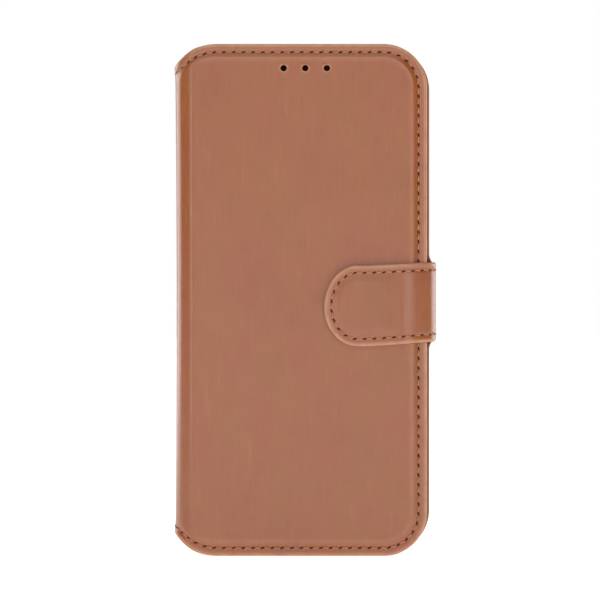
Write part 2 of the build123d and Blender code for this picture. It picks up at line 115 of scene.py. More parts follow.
# ---- Seams and thread, in millimetres
SEAM_INSET, STRAP_SEAM_INSET, POCKET_SEAM_INSET = 2.7, 2.5, 1.4
STITCH_PITCH, POCKET_PITCH = 3.15, 2.8
SLIT_SLANT = 0.30
SLIT_HALF_LENGTH, SLIT_HALF_WIDTH = 0.66, 0.25
SLIT_DEPTH, POCKET_SLIT_DEPTH = 0.55, 0.2
SLIT_FLOOR = 1.35  # above 1, so that a slit has a flat floor
THREAD_R, THREAD_END_R = 0.26, 0.7
THREAD_RINGS, THREAD_SIDES = 11, 8
THREAD_END = 0.56  # from a slit's middle to the thread's end
THREAD_LOW, THREAD_ARCH, THREAD_FLAT = -0.32, 0.44, 0.75
PLY_DEPTH, PLY_TWIST = 0.12, 9.0
COVER_SINK, STRAP_SINK, POCKET_SINK = 0.12, 0.10, 0.06

# ---- Relief of the leather, and the painted highlight and painted shade in its colour, in millimetres
RIM_R, STRAP_RIM_R, LINING_RIM_R = 0.6, 0.62, 0.25
RIM_UNDER = 0.9
SPEAKER_RIM_R, WINDOW_RIM_R = 0.35, 0.45
# Ridges and grooves: height, distance from the edge or level, and width.
PUFF, GROOVE = (0.10, 1.35, 0.55), (0.16, SEAM_INSET, 0.42)
STRAP_PUFF, STRAP_GROOVE = (0.15, 0.95, 0.5), (0.14, STRAP_SEAM_INSET, 0.40)
WINDOW_DIP, POCKET_CREASE = (0.10, 1.6, 0.7), (0.06, POCKET_SEAM_INSET, 0.3)
# Painted highlight, a paler colour on rims, shoulder, edges and openings: strength, distance from the
# edge or level, and width.
RIM_HIGHLIGHT, SHOULDER_HIGHLIGHT, STRAP_HIGHLIGHT = (1.0, 0, 0.9), (0.22, 4.9, 0.7), (0.8, 0.5, 0.75)
LINING_HIGHLIGHT, POCKET_HIGHLIGHT = (0.2, 0, 0.4), (1.0, 0, 0.7)
SPEAKER_HIGHLIGHT, WINDOW_HIGHLIGHT = (1.0, 0, 0.4), (1.0, 0, 0.5)
BACK_SHADED_HIGHLIGHT = 0.15  # the back's rims keep less painted highlight, as painted shade: they lie in shadow
# Waves: height and size.
WAVE, SMALL_WAVE, SMALL_WAVE_SHIFT = (0.035, 17.0), (0.012, 5.0), 50.0
STRAP_WAVE, POCKET_WAVE = (0.02, 9.0), (0.02, 12.0)
# Climbs: where they start and how wide they are.
BOARD_STEP, WINDOW_STEP = (3.4, 0.2), (0.9, 0.2)
SUNK_STEP = (1.0, 5.0)
WAVES_STEP, HOLE_STEP, STRAP_STEP, POCKET_STEP = (6.0, 8.0), (0.5, 3.0), (4.0, 3.0), (2.0, 4.0)
STRAP_RISE_STEP = (3.0, 2.2)

# ---- Mesh rows and steps, in millimetres
FAR = 99.0  # stands for no edge, seam or hole nearby
EDGE_STEP = STITCH_PITCH / 12
LINING_STEP = 0.8
CASE_SPAN, STRAP_SPAN = (1.0, CASE_H), (60.0, 105.0)  # heights that the fill grids cover
BEND_STEP = 0.6
SHARP_ANGLE = math.radians(68)
SPINE_COUNT, LINING_COUNT, SPLIT_COUNT, STRAP_COUNT = 70, 60, 86, 26
FINE_ROWS = [0, .05, .15, .3, .5, .75, 1.1, 1.5, 1.9, 2.15, 2.3, 2.42, 2.54, 2.65, 2.75, 2.86,
             2.98, 3.1, 3.3, 3.55, 3.8, 4.1, 4.4, 4.7, 5.0, 5.4, 6.0, 6.8]
STRAP_ROWS = [0, .05, .15, .3, .5, .75, 1.1, 1.45, 1.75, 1.95, 2.1, 2.22, 2.34, 2.45, 2.55, 2.66,
              2.78, 2.9, 3.1, 3.4, 3.8, 4.3, 5.0, 5.8]
POCKET_ROWS = [0, .05, .15, .3, .5, .75, 1.0, 1.15, 1.3, 1.45, 1.6, 1.8, 2.1]
PLAIN_ROWS = [0, .05, .15, .3, .6, 1.2, 2.2]
NARROW_ROWS = PLAIN_ROWS[:5]
WINDOW_ROWS = [0, .06, .15, .3, .5, .8, 1.2, 1.6, 2.0, 2.6]
HOLE_ROWS = [0, .06, .16, .3, .5, .8]
THIN_HOLE_ROWS = HOLE_ROWS[:4]

UNDER_SHIFT = 4.0  # puts an underside elsewhere in the textures
PANEL_INSET, POCKET_OPEN = 0.5, 2.2
TRAY_EDGE = 0.28

# ---- Stage
SIDE_CARD_ANGLE, SIDE_CARD_AWAY = 119, 1.3
PICTURE_W, CAMERA_DISTANCE, CAMERA_SIDE = 194.2, 1000.0, -1.7  # millimetres
FLOOR_HALF, FLOOR_GAP = 6.0, 0.00005  # metres

# ---- Sizes worked out from those above
MARGIN_Y = Y_BACK - RISE
ROOT_X = STRAP_X - ROOT_R
ROOT_Y = MARGIN_Y - ROOT_R
TONGUE_Y = TONGUE_CAD_Y + TONGUE_RISE - TONGUE_LIFT
TONGUE_THICK = (TONGUE_INNER_Y - LINING_T) - TONGUE_Y
SPINE_MID_Y = (Y_FRONT + Y_BACK) / 2
SPINE_FLAT = (Y_BACK - Y_FRONT) / 2 - SPINE_R
SPINE_ARC = SPINE_R * math.pi / 2
COVER_U = SPINE_FLAT + SPINE_ARC
ZERO_U = COVER_U - ARC_X  # distance along a cover's run where x is 0


# ---- Small helpers
def smooth(t):
    t = np.clip(t, 0, 1)
    return t * t * (3 - 2 * t)


def mix(a, b, t):
    return a + (b - a) * t


def bullnose(d, radius):
    """How far a rounded edge has dropped at a distance d from its rim."""
    back = radius - np.minimum(d, radius)
    return radius - np.sqrt(np.maximum(radius ** 2 - back ** 2, 0))


def ridge(d, height, at, width):
    return height * np.exp(-((d - at) / width) ** 2)


def climb(d, start, width):
    """0 up to the start, 1 from a width further on."""
    return smooth((d - start) / width)


def waves(x, z, height, size):
    """Slow uneven waviness."""
    points = zip(np.ravel(x) / size, np.ravel(z) / size)
    return height * np.array([noise.noise((a, b, 3.7)) for a, b in points]).reshape(np.shape(x))


def resample(points, step):
    """The same line as evenly spaced points."""
    points = np.asarray(points, float)
    lengths = np.hypot(*np.diff(points, axis=0).T)
    at = np.concatenate([[0], np.cumsum(lengths)])
    count = max(2, int(round(at[-1] / step)) + 1)
    where = np.linspace(0, at[-1], count)
    return np.column_stack([np.interp(where, at, points[:, k]) for k in (0, 1)])


def arc_points(cx, cy, rx, ry, start, end, steps=24):
    angles = np.radians(np.linspace(start, end, steps + 1))
    return [(cx + rx * math.cos(a), cy + ry * math.sin(a)) for a in angles]


def flip(points):
    """The mirror image below mid height, in reverse order."""
    return [(x, CASE_H - z) for x, z in points][::-1]


def inward(points, closed=False):
    """Unit vectors to the right of the way along a line."""
    if closed:
        ahead = np.roll(points, -1, 0) - np.roll(points, 1, 0)
    else:
        ahead = np.gradient(points, axis=0)
    ahead /= np.linalg.norm(ahead, axis=1)[:, None]
    return np.column_stack([ahead[:, 1], -ahead[:, 0]])


def fold_depth():
    """How far the strap's fold reaches from the side to the tongue's face."""
    depth, heading = 0.0, 90.0
    for radius, turn in FOLD_ARCS:
        rest = heading - turn
        depth += radius * (math.cos(math.radians(rest)) - math.cos(math.radians(heading)))
        heading = rest
    return depth


FOLD_Y = TONGUE_Y + fold_depth()


# ---- Plan-view runs that the skins follow
class Run:
    """Straight runs and arcs in plan; side is +1 where the outer face is on the left."""

    def __init__(self, x, y, heading, side):
        self.x, self.y, self.heading, self.side = x, y, math.radians(heading), side
        self.length, self.parts = 0.0, []

    def add(self, length, bend):
        self.parts.append((self.length, self.x, self.y, self.heading, bend))
        end = self.point(self.parts[-1], np.array([length]))
        self.x, self.y, self.heading = (float(v[0]) for v in end)
        self.length += length
        return self

    def line(self, length):
        return self.add(length, 0.0)

    def arc(self, radius, turn):
        return self.add(radius * math.radians(abs(turn)), math.copysign(1 / radius, turn))

    def point(self, part, s):
        _, x, y, heading, bend = part
        if bend == 0.0:
            return x + s * math.cos(heading), y + s * math.sin(heading), heading + 0 * s
        now = heading + bend * s
        return (x + (np.sin(now) - math.sin(heading)) / bend,
                y - (np.cos(now) - math.cos(heading)) / bend, now)

    def at(self, u):
        """x, y and outward direction at distances u."""
        u = np.asarray(u, float)
        x, y, heading = np.zeros_like(u), np.zeros_like(u), np.zeros_like(u)
        for index, part in enumerate(self.parts):
            here = u >= part[0] if index else np.ones(u.shape, bool)
            px, py, ph = self.point(part, u[here] - part[0])
            x[here], y[here], heading[here] = px, py, ph
        return x, y, -self.side * np.sin(heading), self.side * np.cos(heading)

    def surface(self, u, v, h):
        """Points at height v and h above the run's face."""
        x, y, nx, ny = self.at(u)
        return np.column_stack([x + nx * h, y + ny * h, np.broadcast_to(v, x.shape)])


def spine_run(heading, side):
    """From the middle of the spine round a corner and over a cover."""
    run = Run(SPINE_X, SPINE_MID_Y, heading, side)
    return run.line(SPINE_FLAT).arc(SPINE_R, -side * 90).line(90)


FRONT_RUN = spine_run(-90, -1)
BACK_RUN = spine_run(90, 1)


def on_strap(v):
    """1 at the strap's heights, falling to 0 over the webs beside it."""
    return 1 - smooth((np.abs(v - STRAP_Z) - STRAP_HALF) / WEB_V)


class StrapRootRun(Run):
    """The back cover's strap side: flat, except where the strap leaves the cover's edge."""

    def bent(self, u, v, h):
        return super().surface(u, v, h)

    def surface(self, u, v, h):
        flat = np.column_stack([self.parts[0][1] + u, MARGIN_Y + np.broadcast_to(h, np.shape(u)),
                                np.broadcast_to(v, np.shape(u))])
        return flat + (self.bent(u, v, h) - flat) * on_strap(v)[:, None]


ROOT_RUN = StrapRootRun(BACK_SPLIT_X, MARGIN_Y, 0, 1)
ROOT_RUN.line(ROOT_X - BACK_SPLIT_X).arc(ROOT_R, -90).line(ROOT_Y - SIDE_MID_Y)
TONGUE_SIDE_U = SIDE_MID_Y - FOLD_Y
TONGUE_RUN = Run(STRAP_X, SIDE_MID_Y, -90, 1).line(TONGUE_SIDE_U)
for radius, turn in FOLD_ARCS:
    LAST_ARC_U, LAST_ARC_Y = TONGUE_RUN.length, TONGUE_RUN.y
    TONGUE_RUN.arc(radius, -turn)
FOLD_END_U = TONGUE_RUN.length
TONGUE_RUN.line(TONGUE_RUN.x - TONGUE_TIP_X)


# ---- Sheets
class Sheet:
    """A skin laid out flat in (u, v), meshed finely along its edges and filled inside."""

    def __init__(self):
        self.points, self.faces = [], []
        self.inset, self.seam_at, self.hole = [], [], []

    def add(self, points, inset=FAR, seam_at=-FAR, hole=FAR):
        first, count = len(self.points), len(points)
        self.points += [tuple(p) for p in points]
        self.inset += list(np.broadcast_to(inset, count))
        self.seam_at += list(np.broadcast_to(seam_at, count))
        self.hole += list(np.broadcast_to(hole, count))
        return list(range(first, first + count))

    def side(self, first, last, u, count):
        """A straight side at u, between two points that are already there."""
        heights = np.linspace(self.points[first][1], self.points[last][1], count)
        return self.add([(u, z) for z in heights[1:-1]])

    def band(self, points, rows, seam_at=-FAR, closed=False, hole=False):
        """Rows of quads on the right of an edge; returns the row furthest from it."""
        sideways = inward(points, closed)
        count = len(points)
        previous = None
        for row in rows:
            near = {"hole": row} if hole else {"inset": row, "seam_at": seam_at}
            indices = self.add(points + sideways * row, **near)
            if previous:
                for i in range(count if closed else count - 1):
                    j = (i + 1) % count
                    self.faces.append((indices[i], indices[j], previous[j], previous[i]))
            previous = indices
        return previous

    def fill(self, loop, holes, us, span, step, keep=0.45, touching=1e-7):
        """Triangles between the innermost rows, on a grid of columns us and rows over a span."""
        points = np.array(self.points)
        ring = points[loop]
        vs = np.arange(*span, step)
        grid_u, grid_v = np.meshgrid(us, vs, indexing="ij")
        gaps = np.minimum(np.gradient(us)[:, None], np.gradient(vs)[None, :])
        grid = np.column_stack([grid_u.ravel(), grid_v.ravel()])
        good = inside(grid, ring)
        near = distance(grid, ring)
        for hole in holes:
            good &= ~inside(grid, points[hole])
            near = np.minimum(near, distance(grid, points[hole]))
        source = list(loop) + [i for hole in holes for i in hole]
        source += self.add(grid[good & (near > gaps.ravel() * keep)])
        edges, start = [], 0
        for indices in [loop] + list(holes):
            n = len(indices)
            edges += [(start + i, start + (i + 1) % n) for i in range(n)]
            start += n
        flat = [Vector(self.points[i]) for i in source]
        result = delaunay_2d_cdt(flat, edges, [], 2, touching)
        back = [source[first[0]] if first else None for first in result[3]]
        triangles = [tuple(back[i] for i in face) for face in result[2]]
        triangles = [corners for corners in triangles if None not in corners]
        points = np.array(self.points)
        middles = points[np.array(triangles)].mean(1)
        filled = np.ones(len(triangles), bool)
        for hole in holes:
            filled &= ~inside(middles, points[hole])
        self.faces += [corners for corners, wanted in zip(triangles, filled) if wanted]


def edged_sheet(edge, rows, count, seam_at=-FAR):
    """A sheet with rows along an edge whose ends are joined by a straight side at u = 0."""
    sheet = Sheet()
    loop = sheet.band(edge, rows, seam_at)
    return sheet, loop + sheet.side(loop[-1], loop[0], 0.0, count)


def inside(points, ring):
    """Which points lie inside a closed line."""
    x, y = points[:, 0], points[:, 1]
    result = np.zeros(len(points), bool)
    for (x1, y1), (x2, y2) in zip(ring, np.roll(ring, -1, 0)):
        if y1 != y2:
            crosses = (y1 > y) != (y2 > y)
            result ^= crosses & (x < (x2 - x1) * (y - y1) / (y2 - y1) + x1)
    return result


def distance(points, ring, chunk=100):
    """Distance from each point to the nearest corner of a line."""
    best = np.full(len(points), np.inf)
    for start in range(0, len(ring), chunk):
        gaps = points[:, None, :] - ring[None, start:start + chunk, :]
        best = np.minimum(best, np.sqrt((gaps ** 2).sum(2)).min(1))
    return best


def make_object(name, points, faces, attributes=None):
    """A smooth-shaded mesh object from points in millimetres."""
    mesh = bpy.data.meshes.new(name)
    mesh.from_pydata([tuple(p) for p in np.asarray(points) * MM], [], faces)
    for key, values in (attributes or {}).items():
        values = np.asarray(values, np.float32)
        kind = "FLOAT" if values.ndim == 1 else "FLOAT_VECTOR"
        layer = mesh.attributes.new(key, kind, "POINT")
        layer.data.foreach_set("value" if values.ndim == 1 else "vector", values.ravel())
    work = bmesh.new()
    work.from_mesh(mesh)
    bmesh.ops.recalc_face_normals(work, faces=work.faces)
    for edge in work.edges:
        if edge.is_manifold:
            edge.smooth = edge.calc_face_angle() < SHARP_ANGLE
    work.to_mesh(mesh)
    work.free()
    mesh.polygons.foreach_set("use_smooth", [True] * len(mesh.polygons))
    obj = bpy.data.objects.new(name, mesh)
    bpy.context.scene.collection.objects.link(obj)
    return obj


def skin(name, sheet, surface, levels, u_shift=0.0, u_sign=1.0):
    """Both faces of a sheet and the walls between them, as a closed shell."""
    uv = np.array(sheet.points)
    data = {key: np.array(getattr(sheet, key), float) for key in ("inset", "seam_at", "hole")}
    outer, inner, pit, wear = levels(uv[:, 0], uv[:, 1], data)
    count = len(uv)
    points = np.vstack([surface(uv[:, 0], uv[:, 1], height) for height in (outer, inner)])
    faces = list(sheet.faces) + [tuple(i + count for i in face[::-1]) for face in sheet.faces]
    used = dict.fromkeys(pair for face in sheet.faces for pair in zip(face, face[1:] + face[:1]))
    faces += [(b, a, a + count, b + count) for a, b in used if (b, a) not in used]
    flat = np.column_stack([u_shift + u_sign * uv[:, 0], uv[:, 1], np.zeros(count)])
    under = flat + [0, 0, UNDER_SHIFT]
    # Attributes: texture coordinates, slit depth, and how strongly the painted highlight lightens the
    # colour.
    return make_object(name, points, faces, {"sheet": np.vstack([flat, under]) * MM,
                                             "pit": np.concatenate([pit, 0 * pit]),
                                             "wear": np.concatenate([wear, wear])})


# ---- Seams
class Seam:
    """Evenly spaced stitches on a line set in from an edge."""

    def __init__(self, edge, seam_inset, pitch=STITCH_PITCH, slant=1):
        self.slant = slant * SLIT_SLANT
        self.sideways = inward(edge)
        self.line = edge + self.sideways * seam_inset
        self.inset = seam_inset
        steps = np.hypot(*np.diff(self.line, axis=0).T)
        self.at = np.concatenate([[0], np.cumsum(steps)])
        self.count = max(1, int(round(self.at[-1] / pitch)))
        self.pitch = self.at[-1] / self.count

    def slit(self, data):
        """Depth, from 0 to 1, of the needle slits, which slant across the seam."""
        s, across = data["seam_at"], data["inset"] - self.inset
        near = (np.round(s / self.pitch - 0.5) + 0.5) * self.pitch
        along = s - near
        turned = across + along * self.slant
        q = (along / SLIT_HALF_LENGTH) ** 2 + (turned / SLIT_HALF_WIDTH) ** 2
        on = (s > -1) & (near > 0) & (near < self.at[-1])
        return np.where(on, np.clip(SLIT_FLOOR - q, 0, 1), 0.0)

    def place(self, s, values):
        """A line's points or directions at distances s along the seam."""
        return [np.interp(s, self.at, values[:, k])[:, None] for k in (0, 1)]


def stitches(name, seams, surface, level, sink):
    """Raised thread between the needle slits of some seams, sunk into the leather's level."""
    points, faces, attributes = [], [], []
    t = np.linspace(0, 1, THREAD_RINGS)[:, None]
    turn = np.linspace(0, 2 * math.pi, THREAD_SIDES, endpoint=False)
    arch = np.sin(np.pi * t) ** 0.5
    radius = THREAD_R * mix(THREAD_END_R, 1, arch)
    for seam, index in [(seam, index) for seam in seams for index in range(seam.count - 1)]:
        s = (index + 0.5) * seam.pitch + THREAD_END + (seam.pitch - 2 * THREAD_END) * t
        r = radius * (1 + PLY_DEPTH * np.cos(2 * turn - PLY_TWIST * t + index))
        off = seam.slant * THREAD_END * (2 * t - 1) + r * np.cos(turn)
        line, side = seam.place(s.ravel(), seam.line), seam.place(s.ravel(), seam.sideways)
        u, v = ((line[k] + side[k] * off).ravel() for k in (0, 1))
        base = level(line[0], line[1]) - sink + THREAD_LOW + THREAD_ARCH * arch
        height = base + THREAD_FLAT * r * np.sin(turn)
        first = len(points)
        points += list(surface(u, v, height.ravel()))
        attributes += list(np.column_stack([s.repeat(THREAD_SIDES), np.tile(turn, THREAD_RINGS),
                                            np.full(u.shape, float(index))]))
        for ring in range(THREAD_RINGS - 1):
            for k in range(THREAD_SIDES):
                a = first + ring * THREAD_SIDES + k
                b = first + ring * THREAD_SIDES + (k + 1) % THREAD_SIDES
                faces.append((a, b, b + THREAD_SIDES, a + THREAD_SIDES))
        last = first + (THREAD_RINGS - 1) * THREAD_SIDES
        faces.append(tuple(range(first, first + THREAD_SIDES))[::-1])
        faces.append(tuple(range(last, last + THREAD_SIDES)))
    obj = make_object(name, points, faces, {"thread": np.array(attributes) * MM})
    return give(obj, THREAD)


def margin_level(u, v):
    return 0 * u


def sewn_skin(name, sheet, run, levels, seams, level, sink, **shift):
    """A leather skin and its stitches; name has a place for either word."""
    obj = give(skin(name.format("skin"), sheet, run.surface, levels, **shift), LEATHER)
    return obj, stitches(name.format("stitches"), seams, run.surface, level, sink)


# ---- Outlines, in (u, v)
def top_edge_z(x):
    """Height of the covers' top edge, which falls away towards the spine."""
    fall = np.clip((np.minimum(x, DIP_X) - DIP_X) / DIP_A, -1, 0)
    return CASE_H - DIP_B * (1 - np.sqrt(1 - fall ** 2))


def cover_distance(x, z, edge_x):
    """How far a point is inside the cover's outline."""
    over_x = x - (edge_x - CORNER_R)
    over_z = np.abs(z - MID_Z) - (MID_Z - CORNER_R)
    corner = CORNER_R - np.hypot(np.maximum(over_x, 0), np.maximum(over_z, 0))
    straight = np.minimum(edge_x - x, top_edge_z(x) - MID_Z - np.abs(z - MID_Z))
    return np.where((over_x > 0) & (over_z > 0), corner, straight)


def spine_edge(run, x_end):
    """Top edge from the middle of the spine to x_end."""
    beyond = COVER_U + np.linspace(0.3, DIP_X - ARC_X, 24)
    u = np.concatenate([np.linspace(0, COVER_U, 60), beyond])
    return list(zip(u, top_edge_z(run.at(u)[0]))) + [(ZERO_U + x_end, CASE_H)]


def rounded_corner(u_edge):
    """Top right corner from the top edge to the right edge."""
    return arc_points(u_edge - CORNER_R, CASE_H - CORNER_R, CORNER_R, CORNER_R, 90, 0)


def cover_outline(run, edge_x):
    """Edge of a whole cover from the middle of the spine, over the top and back below."""
    half = spine_edge(run, edge_x - CORNER_R) + rounded_corner(ZERO_U + edge_x)[1:]
    return np.array(half + flip(half))


def column_grid(x_end, flat_step):
    """Columns that are close together round the spine's corner."""
    corner = np.arange(BEND_STEP, COVER_U + 1.5, BEND_STEP)
    return np.concatenate([corner, np.arange(COVER_U + 2.0, ZERO_U + x_end, flat_step)])


def tongue_columns(flat_step):
    """Columns that are close together round the strap's fold."""
    fold = np.arange(BEND_STEP, FOLD_END_U + 1, BEND_STEP)
    return np.concatenate([fold, np.arange(FOLD_END_U + 2, TONGUE_RUN.length, flat_step)])


def rounded_ring(cx, cz, width, height, radius, step):
    """Closed rounded rectangle, anticlockwise."""
    a, b = width / 2 - radius, height / 2 - radius
    points = []
    for sx, sz, start in ((1, 1, 0), (-1, 1, 90), (-1, -1, 180), (1, -1, 270)):
        points += arc_points(cx + sx * a, cz + sz * b, radius, radius, start, start + 90, 10)
    return resample(points + points[:1], step)[:-1]


def camera_window(sheet, zero_u, rows, step):
    """The camera's opening, with its rows; zero_u is the distance u where x is 0."""
    ring = rounded_ring(zero_u + CAMERA_X, CAMERA_Z, CAMERA_W, CAMERA_H, CAMERA_R, step)
    return sheet.band(ring, rows, closed=True, hole=True)


def speaker_holes(sheet, zero_u, rows, count=28):
    """The three speaker holes, with their rows; zero_u is the distance u where x is 0."""
    angles = np.linspace(0, 2 * math.pi, count, endpoint=False)
    circle = SPEAKER_R * np.column_stack([np.cos(angles), np.sin(angles)])
    return [sheet.band(circle + [zero_u + step * SPEAKER_PITCH, SPEAKER_Z], rows,
                       closed=True, hole=True) for step in (-1, 0, 1)]


# ---- Cover levels
def cover_levels(run, edge_x):
    """Levels of a cover's outer face and of the inside that its lining follows."""

    def levels(u, v):
        x = run.at(u)[0]
        cover = smooth((u - SPINE_FLAT) / SPINE_ARC)
        depth = cover_distance(np.maximum(x, SPINE_X + DIP_CLEAR), v, edge_x)
        slope = SLOPE_END - SLOPE_START + SPINE_SLOPE * (1 - cover)
        rise = smooth((depth - SLOPE_START) / slope)
        bow = SPINE_BOW * np.clip(1 - ((v - MID_Z) / (MID_Z - BOW_MARGIN)) ** 2, 0, 1)
        sunk = (SPINE_DROP + bow) * climb(depth, *SUNK_STEP)
        level = -RISE * cover * (1 - rise) - sunk * (1 - cover)
        board = np.where(u > COVER_U, smooth((x - ARC_X) / (BOARD_X - ARC_X)), 0)
        under = mix(level - LEATHER_T - FACE_BACK, -(RISE + BOARD_T), board)
        return level, under, depth, board

    return levels


def face_level(run, edge_x):
    return lambda u, v: cover_levels(run, edge_x)(u, v)[0]


def cover_relief(x, z, depth, data, pit):
    """Slow waves, swelling, rim, seam groove and slits: what is added to a cover's level."""
    inset = data["inset"]
    wavy = waves(x, z, *WAVE) + waves(x + SMALL_WAVE_SHIFT, z, *SMALL_WAVE)
    calm = climb(depth, *WAVES_STEP) * climb(data["hole"], *HOLE_STEP)
    swell = ridge(inset, *PUFF) - ridge(inset, *GROOVE)
    return wavy * calm + swell - bullnose(inset, RIM_R) - SLIT_DEPTH * pit - FACE_BACK


def cover_highlight(depth, data, worn, panel, hole_wear):
    """Painted highlight: paler colour on the rim, on the raised middle's shoulder and round the
    openings.
    """
    wear = worn * ridge(data["inset"], *RIM_HIGHLIGHT) + ridge(depth, *SHOULDER_HIGHLIGHT) * panel
    return np.maximum(wear, ridge(data["hole"], *hole_wear))


def leather_levels(run, edge_x, seam, worn=1.0):
    """Level function for skin(): outer face, inner face, needle slits and painted highlight."""
    cover = cover_levels(run, edge_x)

    def levels(u, v, data):
        level, under, depth, board = cover(u, v)
        pit = seam.slit(data)
        outer = level + cover_relief(run.at(u)[0], v, depth, data, pit)
        hollow = board * climb(depth, *BOARD_STEP)
        inner = mix(under, level - LEATHER_T, hollow) + bullnose(data["inset"], RIM_R) * RIM_UNDER
        # Painted highlight: paler colour on the rims, on the raised middle's shoulder and round the
        # speaker holes.
        wear = cover_highlight(depth, data, worn, board, SPEAKER_HIGHLIGHT)
        return outer - bullnose(data["hole"], SPEAKER_RIM_R), inner, pit, wear

    return levels


def lining_levels(run, edge_x):
    cover = cover_levels(run, edge_x)

    def levels(u, v, data):
        under = cover(u, v)[1]
        edge = bullnose(data["inset"], LINING_RIM_R) + bullnose(data["hole"], LINING_RIM_R)
        # Painted highlight along the lining's edge.
        wear = ridge(data["inset"], *LINING_HIGHLIGHT)
        return under - GLUE_GAP, under - LINING_T + edge, 0 * u, wear

    return levels


# ---- Materials
class Nodes:
    """A material's or world's nodes, with short calls for nodes and links."""

    def __init__(self, owner, shader="Principled BSDF"):
        owner.use_nodes = True
        self.owner, self.tree = owner, owner.node_tree
        self.shader = self.tree.nodes[shader]

    def put(self, socket, value):
        """Links an output to a socket, or sets its value; colours are given as three numbers."""
        if hasattr(value, "is_output"):
            self.tree.links.new(value, socket)
        elif value is not None:
            socket.default_value = (*value, 1.0) if socket.type == "RGBA" else value

    def fill(self, node, inputs):
        for key, value in inputs.items():
            self.put(node.inputs[key.replace("_", " ")], value)
        return node

    def add(self, kind, **inputs):
        return self.fill(self.tree.nodes.new(kind), inputs)

    def finish(self, **inputs):
        self.fill(self.shader, inputs)
        return self.owner

    def attribute(self, name):
        node = self.tree.nodes.new("ShaderNodeAttribute")
        node.attribute_name = name
        return node.outputs

    def noise(self, vector, scale, detail=3.0, roughness=0.5, distortion=0.0):
        return self.add("ShaderNodeTexNoise", Vector=vector, Scale=scale, Detail=detail,
                        Roughness=roughness, Distortion=distortion).outputs["Fac"]

    def stretched(self, vector, amount):
        """The same coordinates, drawn out along the object's height."""
        node = self.add("ShaderNodeMapping", Vector=vector, Scale=(1.0, amount, 1.0))
        return node.outputs["Vector"]

    def ramp(self, value, low, high, to_low=0.0, to_high=1.0):
        node = self.add("ShaderNodeMapRange", Value=value)
        node.interpolation_type = "SMOOTHSTEP"
        for index, number in enumerate((low, high, to_low, to_high), 1):
            self.put(node.inputs[index], number)
        return node.outputs["Result"]

    def blend(self, a, b, factor):
        node = self.tree.nodes.new("ShaderNodeMix")
        node.data_type = "RGBA"
        for index, value in ((0, factor), (6, a), (7, b)):
            self.put(node.inputs[index], value)
        return node.outputs[2]

    def math(self, operation, a, b):
        node = self.tree.nodes.new("ShaderNodeMath")
        node.operation = operation
        self.put(node.inputs[0], a)
        self.put(node.inputs[1], b)
        return node.outputs[0]

    def bump(self, height, strength, depth, below=None):
        return self.add("ShaderNodeBump", Height=height, Strength=strength, Distance=depth,
                        Normal=below).outputs["Normal"]

    def cells(self, vector, scale, width):
        """0 on the lines between leather cells, 1 inside them."""
        node = self.add("ShaderNodeTexVoronoi", Vector=vector, Scale=scale)
        node.feature = "DISTANCE_TO_EDGE"
        return self.ramp(node.outputs["Distance"], 0.0, width)


RED_BROWN = (0.302, 0.085, 0.031)
TAN_BROWN = (0.296, 0.095, 0.028)
DARK_BROWN = (0.205, 0.055, 0.016)
# Pale colour for real scuffs, and for the painted highlight on rims, shoulders and edges.
PALE_SCUFF_AND_HIGHLIGHT = (0.52, 0.25, 0.135)
# Painted shade inside the needle slits.
SLIT_SHADE_BROWN = (0.085, 0.014, 0.004)
THREAD_LIGHT, THREAD_DARK = (0.50, 0.22, 0.105), (0.42, 0.165, 0.072)
# Painted shade in the grooves between the thread's plies.
THREAD_GROOVE_SHADE = (0.30, 0.105, 0.042)
WHITE = (1, 1, 1)


def highlight_and_slit_shade(n, color, wear, slit):
    """A colour with painted highlight on pale rims and painted shade in the needle slits, and the
    slits' depth.
    """
    color = n.blend(color, PALE_SCUFF_AND_HIGHLIGHT, n.math("MULTIPLY", n.attribute("wear")["Fac"], wear))
    pit = n.attribute("pit")["Fac"]
    # Painted shade: darker colour where the slits are deep.
    return n.blend(color, SLIT_SHADE_BROWN, n.ramp(pit, 0.15, 0.65, 0.0, slit)), pit


def leather_material():
    n = Nodes(bpy.data.materials.new("leather"))
    sheet = n.attribute("sheet")["Vector"]
    brushed = n.stretched(sheet, 0.12)
    patches = n.noise(n.stretched(sheet, 0.45), 85.0, 3.0, 0.5, 0.4)
    clouds = n.noise(sheet, 38.0, 3.0, 0.5, 0.6)
    fine = n.noise(sheet, 620.0, 4.0, 0.6)
    strokes = n.noise(brushed, 950.0, 4.0, 0.6)
    scuff = n.noise(brushed, 420.0, 5.0, 0.6, 0.8)
    color = n.blend(RED_BROWN, TAN_BROWN, n.ramp(patches, 0.33, 0.67))
    for shade, pattern, low, high, most in ((DARK_BROWN, clouds, 0.46, 0.78, 0.24),
                                            (DARK_BROWN, fine, 0.52, 0.72, 0.16),
                                            (DARK_BROWN, strokes, 0.4, 0.8, 0.32),
                                            (PALE_SCUFF_AND_HIGHLIGHT, scuff, 0.56, 0.74, 0.09)):
        color = n.blend(color, shade, n.ramp(pattern, low, high, 0.0, most))
    uneven = n.ramp(n.noise(sheet, 260.0), 0.25, 0.65, 0.55, 0.90)
    # Painted highlight, unevenly strong, and painted shade in the needle slits.
    color, pit = highlight_and_slit_shade(n, color, uneven, 0.97)
    normal = n.bump(n.cells(sheet, 1250.0, 0.22), 0.10, 0.00004)
    normal = n.bump(n.noise(sheet, 3200.0, 3.0, 0.6), 0.10, 0.00003, normal)
    normal = n.bump(n.noise(sheet, 260.0), 0.10, 0.00012, normal)
    rough = n.ramp(n.noise(sheet, 150.0, 4.0, 0.6), 0.3, 0.7, 0.19, 0.26)
    rough = n.math("ADD", rough, n.math("MULTIPLY", pit, 0.65))
    return n.finish(Base_Color=color, Roughness=rough, Normal=normal, IOR=1.58)


